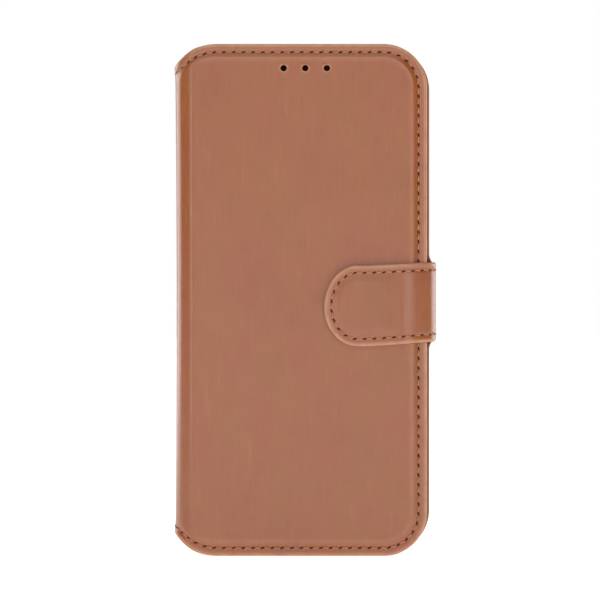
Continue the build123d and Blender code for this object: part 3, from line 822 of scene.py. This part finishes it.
def lining_material(name, light, dark, rough_from, rough_to):
    n = Nodes(bpy.data.materials.new(name))
    sheet = n.attribute("sheet")["Vector"]
    color = n.blend(light, dark, n.ramp(n.noise(sheet, 120.0, 4.0, 0.6), 0.35, 0.65, 0.0, 0.5))
    color = n.blend(color, dark, n.ramp(n.noise(sheet, 1400.0, 4.0, 0.7), 0.4, 0.7, 0.0, 0.45))
    # Painted highlight on the edges at 0.55, and painted shade in the needle slits at 0.95.
    color, _ = highlight_and_slit_shade(n, color, 0.55, 0.95)
    normal = n.bump(n.cells(sheet, 1500.0, 0.25), 0.18, 0.00005)
    normal = n.bump(n.noise(sheet, 4200.0, 3.0, 0.7), 0.25, 0.00004, normal)
    rough = n.ramp(n.noise(sheet, 300.0), 0.3, 0.7, rough_from, rough_to)
    return n.finish(Base_Color=color, Roughness=rough, Normal=normal, IOR=1.45)


def thread_material():
    n = Nodes(bpy.data.materials.new("thread"))
    strand = n.attribute("thread")["Vector"]
    wave = n.add("ShaderNodeTexWave", Vector=strand, Scale=900.0, Distortion=1.5, Detail=2.0)
    wave.bands_direction = "DIAGONAL"
    place = n.add("ShaderNodeTexCoord").outputs["Object"]
    shade = n.ramp(n.noise(place, 900.0, 3.0, 0.6), 0.35, 0.65)
    color = n.blend(THREAD_LIGHT, THREAD_DARK, shade)
    # Painted shade: darker in the grooves of the twist.
    color = n.blend(color, THREAD_GROOVE_SHADE, n.ramp(wave.outputs["Fac"], 0.1, 0.6, 0.35, 0.0))
    normal = n.bump(wave.outputs["Fac"], 0.35, 0.00005)
    return n.finish(Base_Color=color, Roughness=0.62, Normal=normal, IOR=1.45)


def plain_material(name, light, dark, scale, rough_from, rough_to, bump, **fixed):
    """Material for a CAD node: two tones, uneven roughness and a fine bump."""
    n = Nodes(bpy.data.materials.new(name))
    place = n.add("ShaderNodeTexCoord").outputs["Object"]
    color = n.blend(light, dark, n.ramp(n.noise(place, scale, 5.0, 0.6), 0.35, 0.65))
    rough = n.ramp(n.noise(place, scale * 3), 0.3, 0.7, rough_from, rough_to)
    normal = n.bump(n.noise(place, scale * 12, 4.0, 0.6), bump, 0.00004)
    return n.finish(Base_Color=color, Roughness=rough, Normal=normal, **fixed)


def give(obj, material):
    obj.data.materials.clear()
    obj.data.materials.append(material)
    return obj


LEATHER = leather_material()
LINING = lining_material("lining", (0.30, 0.098, 0.038), (0.23, 0.070, 0.026), 0.52, 0.64)
POCKET = lining_material("pocket_skin", (0.32, 0.105, 0.036), (0.25, 0.076, 0.025), 0.42, 0.54)
THREAD = thread_material()


# ---- Front cover and its half of the spine
def build_front_skin():
    edge = resample(cover_outline(FRONT_RUN, FRONT_EDGE_X), EDGE_STEP)
    seam = Seam(edge, SEAM_INSET)
    sheet, loop = edged_sheet(edge, FINE_ROWS, SPINE_COUNT, seam.at)
    holes = speaker_holes(sheet, ZERO_U, HOLE_ROWS)
    sheet.fill(loop, holes, column_grid(FRONT_EDGE_X, 1.6), CASE_SPAN, 1.6)
    return sewn_skin("front_cover_{}", sheet, FRONT_RUN,
                     leather_levels(FRONT_RUN, FRONT_EDGE_X, seam), [seam],
                     face_level(FRONT_RUN, FRONT_EDGE_X), COVER_SINK)


def build_spine_back_skin():
    """Back half of the spine and the back cover's skin as far as BACK_SPLIT_X."""
    top = resample(spine_edge(BACK_RUN, BACK_SPLIT_X), EDGE_STEP)
    seams = [Seam(edge, SEAM_INSET) for edge in (top, np.array(flip(top)))]
    sheet = Sheet()
    upper = sheet.band(top, FINE_ROWS, seams[0].at)
    lower = sheet.band(np.array(flip(top)), FINE_ROWS, seams[1].at)
    split = sheet.side(upper[-1], lower[0], ZERO_U + BACK_SPLIT_X, SPLIT_COUNT)
    spine = sheet.side(lower[-1], upper[0], 0.0, SPINE_COUNT)
    sheet.fill(upper + split + lower + spine, [], column_grid(BACK_SPLIT_X - 1.0, 1.8), CASE_SPAN, 1.8)
    return sewn_skin("back_cover_{}_spine_side", sheet, BACK_RUN,
                     leather_levels(BACK_RUN, BACK_EDGE_X, seams[0], BACK_SHADED_HIGHLIGHT), seams,
                     face_level(BACK_RUN, BACK_EDGE_X), COVER_SINK, u_sign=-1.0)


# ---- Back cover's strap side and the strap
def root_levels(seam):
    """Levels measured from the back cover's margin; the strap leaves at that level."""

    def levels(u, v, data):
        x, hole = BACK_SPLIT_X + u, data["hole"]
        depth = cover_distance(x, v, BACK_EDGE_X)
        rise = smooth((depth - SLOPE_START) / (SLOPE_END - SLOPE_START))
        pit = seam.slit(data)
        outer = RISE * rise + cover_relief(x, v, depth, data, pit)
        outer = outer - ridge(hole, *WINDOW_DIP) - bullnose(hole, WINDOW_RIM_R)
        tab = smooth((x - ROOT_X) / 2.0) * on_strap(v)
        hollow = climb(depth, *BOARD_STEP) * climb(hole, *WINDOW_STEP)
        under = mix(mix(-BOARD_T, RISE - LEATHER_T, hollow), -LEATHER_T, tab)
        edge = bullnose(data["inset"], RIM_R * 0.66) + bullnose(hole, 0.3)
        # Painted highlight on the rims, the shoulder and round the camera window, made weaker on the
        # back's rims as painted shade.
        wear = cover_highlight(depth, data, BACK_SHADED_HIGHLIGHT, 1, WINDOW_HIGHLIGHT)
        return outer, under + edge * RIM_UNDER, pit, wear

    return levels


def build_root_skin():
    """Back cover's skin from BACK_SPLIT_X, with the tab that becomes the strap's side."""
    u_edge = BACK_EDGE_X - BACK_SPLIT_X
    high, low = STRAP_Z + STRAP_HALF, STRAP_Z - STRAP_HALF
    corner = [(0.0, CASE_H)] + rounded_corner(u_edge)
    web = arc_points(u_edge + WEB_U, high + WEB_V, WEB_U, WEB_V, 180, 270)
    upper = resample(corner + web + [(ROOT_RUN.length, high)], EDGE_STEP)
    web = arc_points(u_edge + WEB_U, low - WEB_V, WEB_U, WEB_V, 90, 180)
    lower = resample([(ROOT_RUN.length, low)] + web + flip(corner), EDGE_STEP)
    seams = [Seam(line, SEAM_INSET) for line in (upper, lower)]
    sheet = Sheet()
    a = sheet.band(upper, FINE_ROWS, seams[0].at)
    b = sheet.band(lower, FINE_ROWS, seams[1].at / seams[1].pitch * seams[0].pitch)
    tip = sheet.side(a[-1], b[0], ROOT_RUN.length, STRAP_COUNT)
    split = sheet.side(b[-1], a[0], 0.0, SPLIT_COUNT)
    hole = camera_window(sheet, -BACK_SPLIT_X, WINDOW_ROWS, 0.7)
    flat_us = np.arange(1.2, u_edge - 7, 1.8)
    close_us = np.arange(u_edge - 6.2, ROOT_RUN.length, BEND_STEP)
    sheet.fill(a + tip + b + split, [hole], np.concatenate([flat_us, close_us]), CASE_SPAN, 1.5)
    return sewn_skin("back_cover_{}_strap_side", sheet, ROOT_RUN, root_levels(seams[0]), seams,
                     margin_level, COVER_SINK, u_shift=-(ZERO_U + BACK_SPLIT_X), u_sign=-1.0)


def tongue_outline():
    """Edge of the strap's tongue, from its side's top round the end to its side's bottom."""
    end_u = TONGUE_RUN.length - TONGUE_END[0]
    along = np.linspace(0, end_u, 60)
    t = smooth((along - TONGUE_SIDE_U) / (end_u - TONGUE_SIDE_U))
    top = zip(along, mix(STRAP_Z + STRAP_HALF, TONGUE_END_Z + TONGUE_END[1], t))
    bottom = zip(along, mix(STRAP_Z - STRAP_HALF, TONGUE_END_Z - TONGUE_END[1], t))
    round_end = arc_points(end_u, TONGUE_END_Z, *TONGUE_END, 90, -90, 60)
    return np.array(list(top)[:-1] + round_end + list(bottom)[-2::-1])


def tongue_depth(u):
    """Thickness of leather and filling: thin round the fold, thicker on the tongue."""
    return mix(LEATHER_T, TONGUE_THICK, climb(u, LAST_ARC_U, 5))


def tongue_levels(seam):
    """Levels from the tongue's margin: thin round the fold, raised over the stiffener."""

    def levels(u, v, data):
        inset = data["inset"]
        pit = seam.slit(data)
        on_tongue = climb(u, FOLD_END_U - 1, TONGUE_GROW)
        rise = TONGUE_RISE * climb(inset, *STRAP_RISE_STEP) * on_tongue
        outer = rise + ridge(inset, *STRAP_PUFF) - ridge(inset, *STRAP_GROOVE)
        wavy = waves(u, v, *STRAP_WAVE) * climb(inset, *STRAP_STEP) * climb(u, 0, TONGUE_GROW)
        outer = outer - bullnose(inset, STRAP_RIM_R) + wavy - SLIT_DEPTH * pit - FACE_BACK
        hollow = climb(inset, *BOARD_STEP) * on_tongue
        inner = hollow * (TONGUE_THICK - LEATHER_T + TONGUE_RISE) - tongue_depth(u)
        # The last value is a painted highlight along the ridge round the tongue's rim.
        return outer, inner + bullnose(inset, 0.4), pit, ridge(inset, *STRAP_HIGHLIGHT)

    return levels


def build_tongue_skin():
    edge = resample(tongue_outline(), EDGE_STEP)
    seam = Seam(edge, STRAP_SEAM_INSET, slant=-1)
    sheet, loop = edged_sheet(edge, STRAP_ROWS, STRAP_COUNT, seam.at)
    sheet.fill(loop, [], tongue_columns(1.1), STRAP_SPAN, 1.1)
    shift = -(ZERO_U + BACK_SPLIT_X + ROOT_RUN.length)
    return sewn_skin("strap_tongue_{}", sheet, TONGUE_RUN, tongue_levels(seam), [seam],
                     margin_level, STRAP_SINK, u_shift=shift, u_sign=-1.0)


# ---- Linings
def lining_edge(outline, step=LINING_STEP):
    edge = resample(outline, step)
    return edge + inward(edge) * LINING_INSET


def build_front_lining():
    edge = lining_edge(cover_outline(FRONT_RUN, FRONT_EDGE_X))
    sheet, loop = edged_sheet(edge, PLAIN_ROWS, LINING_COUNT)
    holes = speaker_holes(sheet, ZERO_U, THIN_HOLE_ROWS)
    sheet.fill(loop, holes, column_grid(FRONT_EDGE_X, 3.0), CASE_SPAN, 3.0)
    return give(skin("front_cover_lining", sheet, FRONT_RUN.surface,
                     lining_levels(FRONT_RUN, FRONT_EDGE_X), u_shift=0.3), LINING)


def build_back_lining():
    """Back lining with the camera window and the notch that clears the strap's root."""
    u_edge = ZERO_U + BACK_EDGE_X
    top = spine_edge(BACK_RUN, BACK_EDGE_X - CORNER_R) + rounded_corner(u_edge)[1:]
    notch_u, notch = ZERO_U + ROOT_X - 0.3, STRAP_HALF + WEB_V
    steps = ((u_edge, notch + 1), (notch_u, notch - 0.5), (notch_u, 0.5 - notch), (u_edge, -notch - 1))
    outline = top + [(u, STRAP_Z + away) for u, away in steps] + flip(top)
    sheet, loop = edged_sheet(lining_edge(outline), NARROW_ROWS, LINING_COUNT)
    hole = camera_window(sheet, ZERO_U, THIN_HOLE_ROWS, 1.0)
    sheet.fill(loop, [hole], column_grid(BACK_EDGE_X, 3.0), CASE_SPAN, 3.0)
    return give(skin("back_cover_lining", sheet, BACK_RUN.surface,
                     lining_levels(BACK_RUN, BACK_EDGE_X), u_shift=-0.3, u_sign=-1.0), LINING)


def strap_lining_levels(leather_depth):
    """Levels of a lining glued under strap leather of the given depth."""

    def levels(u, v, data):
        under = -leather_depth(u)
        edge = bullnose(data["inset"], LINING_RIM_R)
        return under - GLUE_GAP, under - LINING_T + edge, 0 * u, 0 * u

    return levels


def build_strap_side_lining():
    start_u = ROOT_X - BACK_SPLIT_X
    half = STRAP_HALF - LINING_INSET
    top = resample([(start_u, STRAP_Z + half), (ROOT_RUN.length, STRAP_Z + half)], 0.5)
    bottom = (top - [0, 2 * half])[::-1]
    sheet = Sheet()
    a, b = (sheet.band(edge, NARROW_ROWS) for edge in (top, bottom))
    tip = sheet.side(a[-1], b[0], ROOT_RUN.length, STRAP_COUNT)
    root = sheet.side(b[-1], a[0], start_u, STRAP_COUNT)
    sheet.fill(a + tip + b + root, [], np.arange(start_u + 0.5, ROOT_RUN.length, 0.5),
               STRAP_SPAN, 1.5)
    levels = strap_lining_levels(lambda u: LEATHER_T + 0 * u)
    return give(skin("strap_side_lining_skin", sheet, ROOT_RUN.bent, levels, u_shift=0.5), LINING)


def build_tongue_lining():
    sheet, loop = edged_sheet(lining_edge(tongue_outline(), 0.6), NARROW_ROWS, STRAP_COUNT)
    sheet.fill(loop, [], tongue_columns(2.0), STRAP_SPAN, 2.0)
    return give(skin("strap_tongue_lining_skin", sheet, TONGUE_RUN.surface,
                     strap_lining_levels(tongue_depth), u_shift=0.7), LINING)


# ---- Pockets on the front cover's inside
def softened(outline, step=0.28, window=9):
    """Closed outline, evenly spaced, with its corners rounded off."""
    ring = resample(list(outline) + [outline[0]], step)[:-1]
    for _ in range(2):
        ring = np.mean([np.roll(ring, k - window // 2, 0) for k in range(window)], 0)
    return ring


def pocket_panel(name, node, outline, holes=False, rim=0.0):
    """A thin panel facing the phone, open at its left; returns the stitches of its other sides."""
    low, high = mm_box(node)
    run = Run(0.0, high[1] - POCKET_T, 0, 1).line(50)
    edge = softened(outline)
    stitched = edge[:, 0] > low[0] + POCKET_OPEN
    seam = Seam(edge[stitched], POCKET_SEAM_INSET, POCKET_PITCH)
    seam_at = np.full(len(edge), -FAR)
    seam_at[stitched] = seam.at
    sheet = Sheet()
    loop = sheet.band(edge, POCKET_ROWS, seam_at, closed=True)
    rings = speaker_holes(sheet, 0, THIN_HOLE_ROWS) if holes else []
    columns = np.arange(low[0] + 1, high[0], 2.2)
    sheet.fill(loop, rings, columns, (low[2] + 1, high[2]), 2.2)

    def level(u, v):
        depth = np.minimum(high[0] - u, np.minimum(v - low[2], high[2] - v))
        return POCKET_T - rim * (1 - smooth(depth / 9.0))

    def levels(u, v, data):
        inset = data["inset"]
        pit = seam.slit(data)
        crease = ridge(inset, *POCKET_CREASE) + POCKET_SLIT_DEPTH * pit
        edge_drop = bullnose(inset, 0.2) + bullnose(data["hole"], 0.2)
        wavy = waves(u, v, *POCKET_WAVE) * climb(inset, *POCKET_STEP)
        inner = level(u, v) - POCKET_T + bullnose(inset, 0.15)
        outer = level(u, v) - crease - edge_drop + wavy
        # The last value is a painted highlight along the pocket's edges.
        return outer, inner, pit, ridge(inset, *POCKET_HIGHLIGHT)

    obj = give(skin(name, sheet, run.surface, levels, u_shift=1.3), POCKET)
    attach(obj, "front_cover")
    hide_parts(node)
    sewn = stitches(name + "_stitches", [seam], run.surface, level, POCKET_SINK)
    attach(sewn, "front_cover")
    return sewn


def cover_part(left_x, z_high, full):
    """Outline, clockwise, of a panel that follows the cover's right side."""
    right = FRONT_EDGE_X - PANEL_INSET
    radius = CORNER_R - PANEL_INSET
    points = [(left_x, z_high), (right, z_high)]
    if full:
        points = [(a, float(top_edge_z(a)) - PANEL_INSET) for a in np.linspace(left_x, DIP_X, 8)]
        points += arc_points(right - radius, CASE_H - CORNER_R, radius, radius, 90, 0)
    points += arc_points(right - radius, CORNER_R, radius, radius, 0, -90)
    return points + (flip(points[:8]) if full else [(left_x, PANEL_INSET)])


def build_pockets():
    low, high = mm_box("note_pocket_panel")
    pocket_panel("note_pocket", "note_pocket_panel", cover_part(low[0], high[2], True), holes=True)
    for which in ("inner", "middle"):
        node = f"card_pocket_{which}"
        low, high = mm_box(node)
        strip = [(low[0], high[2]), (high[0], high[2]), (high[0], low[2]), (low[0], low[2])]
        pocket_panel(f"card_slot_{which}", node, strip)
    low, high = mm_box("card_pocket_outer")
    pocket_panel("card_slot_outer", "card_pocket_outer", cover_part(low[0], high[2], False),
                 rim=2 * POCKET_T)
    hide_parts("pocket_thread")


# ---- CAD nodes that stay
def soften(obj):
    soft = obj.modifiers.new("soft_edges", "BEVEL")
    soft.width = TRAY_EDGE * MM
    soft.segments = 3
    soft.limit_method = "ANGLE"
    soft.angle_limit = math.radians(50)
    soft.harden_normals = True


def dress_frame():
    """Materials for the CAD parts that show as they are, and softened edges on the tray."""
    tray = plain_material("tray_plastic", (0.125, 0.046, 0.022), (0.10, 0.036, 0.017),
                          240.0, 0.36, 0.46, 0.12, IOR=1.48)
    board = plain_material("fibre_board", (0.34, 0.25, 0.17), (0.26, 0.19, 0.12),
                           900.0, 0.8, 0.95, 0.4)
    steel = plain_material("plate_steel", (0.55, 0.55, 0.56), (0.46, 0.46, 0.47),
                           500.0, 0.28, 0.42, 0.15, Metallic=1.0)
    film = plain_material("adhesive_film", (0.62, 0.58, 0.50), (0.54, 0.50, 0.42),
                          300.0, 0.3, 0.5, 0.2)
    for material, nodes in ((tray, ("phone_tray", "volume_button_cover", "power_button_cover")),
                            (board, ("back_board", "front_board", "strap_stiffener")),
                            (steel, ("keeper_plate", "strap_magnet")),
                            (film, ("tray_adhesive",))):
        for node in nodes:
            give(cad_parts[node], material)
            if material is tray:
                soften(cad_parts[node])


# ---- Assembly
def metres(x, y, z=MID_Z):
    return (x * MM, y * MM, z * MM)


def join(obj, slot, bend, names):
    """A piece that stands for the named parts' CAD nodes, which are hidden; its transform is baked.
    The bend is not used.
    """
    if names:
        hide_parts(*(f"{name}_{slot}" for name in names))
    a, b, start, end = bend
    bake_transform(obj)
    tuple(start)
    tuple(end)


def assemble():
    # Each bend: the bodies on both sides of it, where it starts and where it ends.
    front = ("spine", "front_cover", metres(SPINE_X, Y_FRONT + SPINE_R), metres(ARC_X, Y_FRONT))
    back = ("spine", "back_cover", metres(SPINE_X, Y_BACK - SPINE_R), metres(ARC_X, Y_BACK))
    root = ("back_cover", "strap_side",
            metres(STRAP_X, ROOT_Y + ROOT_BEND), metres(STRAP_X, ROOT_Y - ROOT_BEND))
    fold = ("strap_side", "strap_tongue",
            metres(STRAP_X, FOLD_Y), metres(BLEND_END_X, LAST_ARC_Y))
    for build, bend, names in ((build_front_skin, front, ("front", "spine")),
                               (build_spine_back_skin, back, ()),
                               (build_root_skin, root, ("back", "strap_side")),
                               (build_tongue_skin, fold, ("strap_tongue",))):
        for piece, slot in zip(build(), ("leather", "thread")):
            join(piece, slot, bend, names)
    for build, bend, names in ((build_front_lining, front, ("front", "spine")),
                               (build_back_lining, back, ("back",)),
                               (build_strap_side_lining, root, ("strap_side",)),
                               (build_tongue_lining, fold, ("strap_tongue",))):
        join(build(), "lining", bend, names)
    build_pockets()
    dress_frame()


# ---- Stage, lights and camera
def build_floor():
    n = Nodes(bpy.data.materials.new("floor"))
    place = n.add("ShaderNodeTexCoord").outputs["Object"]
    color = n.blend((0.90, 0.90, 0.90), (0.87, 0.87, 0.87), n.noise(place, 8.0, 2.0))
    away = n.add("ShaderNodeVectorMath", Vector=place)
    away.operation = "LENGTH"
    glow = n.ramp(away.outputs["Value"], 0.0, 0.03, 0.80, 0.85)
    material = n.finish(Base_Color=color, Roughness=0.7, Emission_Color=WHITE, Emission_Strength=glow)
    mesh = bpy.data.meshes.new("floor")
    corners = ((-1, -1), (1, -1), (1, 1), (-1, 1))
    mesh.from_pydata([(FLOOR_HALF * x, FLOOR_HALF * y, 0) for x, y in corners], [], [(0, 1, 2, 3)])
    floor = bpy.data.objects.new("floor", mesh)
    floor.location.z = -FLOOR_GAP
    bpy.context.scene.collection.objects.link(floor)
    give(floor, material)


def area_light(name, place, target, width, height, radiance):
    """A soft box whose front face has the given radiance."""
    light = bpy.data.lights.new(name, "AREA")
    light.shape = "RECTANGLE"
    light.size, light.size_y = width, height
    light.energy = radiance * math.pi * width * height
    obj = bpy.data.objects.new(name, light)
    obj.location = place
    aim = Vector(target) - Vector(place)
    obj.rotation_euler = aim.to_track_quat("-Z", "Y").to_euler()
    obj.visible_camera = False
    bpy.context.scene.collection.objects.link(obj)


def build_lights():
    middle = (0, 0, MID_Z * MM)
    area_light("front_soft", (0, -1.35, 0.2), middle, 0.42, 1.0, 1.15)
    area_light("front_high", (0, -1.15, 0.85), middle, 0.9, 0.45, 2.5)
    for side in (-1, 1):
        area_light("front_side_soft", (side * 0.48, -1.25, 0.2), middle, 0.30, 1.0, 2.4)
        turn = math.radians(SIDE_CARD_ANGLE)
        place = (side * SIDE_CARD_AWAY * math.sin(turn), -SIDE_CARD_AWAY * math.cos(turn), 0.2)
        area_light("side_card", place, (0, 0, 0.1), 1.0, 0.55, 2.6)
    area_light("top_soft", (0, -0.45, 1.5), middle, 1.6, 1.3, 1.0)


def build_world():
    """White for the camera; for the object, dark in front and bright behind."""
    n = Nodes(bpy.data.worlds.new("studio"), "Background")
    place = n.add("ShaderNodeTexCoord").outputs["Generated"]
    towards = n.add("ShaderNodeSeparateXYZ", Vector=place).outputs["Y"]
    level = n.ramp(towards, -0.10, 0.35, 0.05, 0.72)
    seen = n.add("ShaderNodeLightPath").outputs["Is Camera Ray"]
    bpy.context.scene.world = n.finish(Color=WHITE, Strength=n.math("MAXIMUM", level, seen))


def build_camera():
    camera = bpy.data.cameras.new("camera")
    camera.lens = camera.sensor_width * CAMERA_DISTANCE / PICTURE_W
    camera.clip_start = 0.05
    obj = bpy.data.objects.new("camera", camera)
    obj.location = (CAMERA_SIDE * MM, (Y_FRONT - CAMERA_DISTANCE) * MM, MID_Z * MM)
    obj.rotation_euler = (math.radians(90), 0, 0)
    bpy.context.scene.collection.objects.link(obj)
    bpy.context.scene.camera = obj
    bpy.context.scene.view_settings.view_transform = "Standard"


build_camera()
build_floor()
build_lights()
build_world()
assemble()
